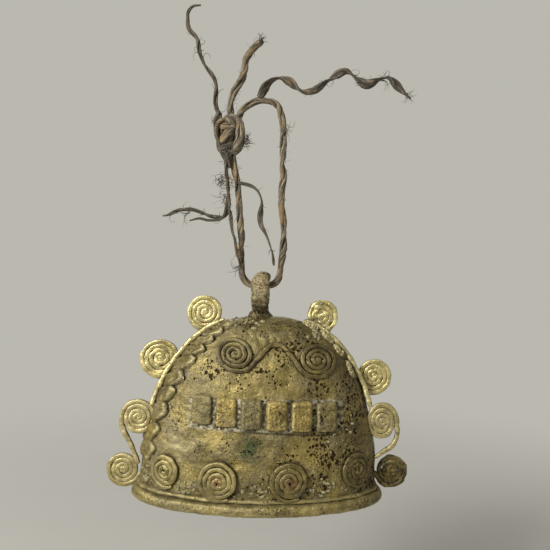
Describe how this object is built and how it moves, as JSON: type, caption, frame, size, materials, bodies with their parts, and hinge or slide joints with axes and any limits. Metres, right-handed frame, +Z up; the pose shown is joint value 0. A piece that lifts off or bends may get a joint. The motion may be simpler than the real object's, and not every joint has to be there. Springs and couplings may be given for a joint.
{
  "type": "cast brass hand bell with wire scrolls, hung on a knotted cord",
  "caption": "Oval cast brass bell with applied wire scrolls, a crown loop, a swinging iron clapper and a knotted fibre hanging cord.",
  "frame": {"origin": "point where the hanging cord bears on a hook, under the top of its loop", "axes": "+Z up, the tiled front faces -Y, +X to the right across the wide side of the bell"},
  "size_m": [0.176, 0.068, 0.2903],
  "materials": {
    "cast_brass": "dull patinated casting with pits",
    "rubbed_brass": "satin, rubbed bright on the raised wires",
    "forged_iron": "dark oxidised",
    "bark_fibre_cord": "rough twisted fibre"
  },
  "bodies": {
    "cord": {"cord_loop": "bark_fibre_cord", "cord_knot": "bark_fibre_cord", "companion_strand": "bark_fibre_cord", "upper_tail": "bark_fibre_cord", "hook_tail": "bark_fibre_cord", "right_tail": "bark_fibre_cord", "middle_tail": "bark_fibre_cord", "lower_tail": "bark_fibre_cord"},
    "bell": {"bell_shell": "cast_brass", "rim_band": "rubbed_brass", "rim_bead": "rubbed_brass", "left_seam_ribbon": "cast_brass", "right_seam_ribbon": "cast_brass", "left_ridge_wire": "rubbed_brass", "right_ridge_wire": "rubbed_brass", "left_scroll_1": "rubbed_brass", "left_scroll_2": "rubbed_brass", "left_scroll_3": "rubbed_brass", "left_scroll_4": "rubbed_brass", "right_scroll_1": "rubbed_brass", "right_scroll_2": "rubbed_brass", "right_scroll_3": "rubbed_brass", "right_scroll_4": "rubbed_brass", "front_coil_1": "cast_brass", "front_coil_2": "cast_brass", "front_coil_3": "cast_brass", "front_coil_4": "cast_brass", "back_coil_1": "cast_brass", "back_coil_2": "cast_brass", "back_coil_3": "cast_brass", "back_coil_4": "cast_brass", "front_brow_scroll": "cast_brass", "back_brow_scroll": "cast_brass", "tile_1": "cast_brass", "tile_2": "cast_brass", "tile_3": "cast_brass", "tile_4": "cast_brass", "tile_5": "cast_brass", "tile_6": "cast_brass", "crown_loop": "cast_brass", "crown_collar": "cast_brass", "inner_staple": "forged_iron"},
    "link": {"clapper_link": "forged_iron"},
    "clapper": {"clapper_rod": "forged_iron", "clapper_bob": "forged_iron"}
  },
  "joints": [
    {"name": "bell_swing", "type": "hinge", "parent": "cord", "child": "bell", "pos_m": [-0.002, 0, -0.1075], "axis": [1, 0, 0], "range_deg": [-45, 45]},
    {"name": "link_swing", "type": "hinge", "parent": "bell", "child": "link", "pos_m": [-0.002, 0, -0.13882], "axis": [1, 0, 0], "range_deg": [-10, 10]},
    {"name": "clapper_swing", "type": "hinge", "parent": "link", "child": "clapper", "pos_m": [-0.002, 0, -0.14652], "axis": [0, 1, 0], "range_deg": [-36, 36]}
  ]
}
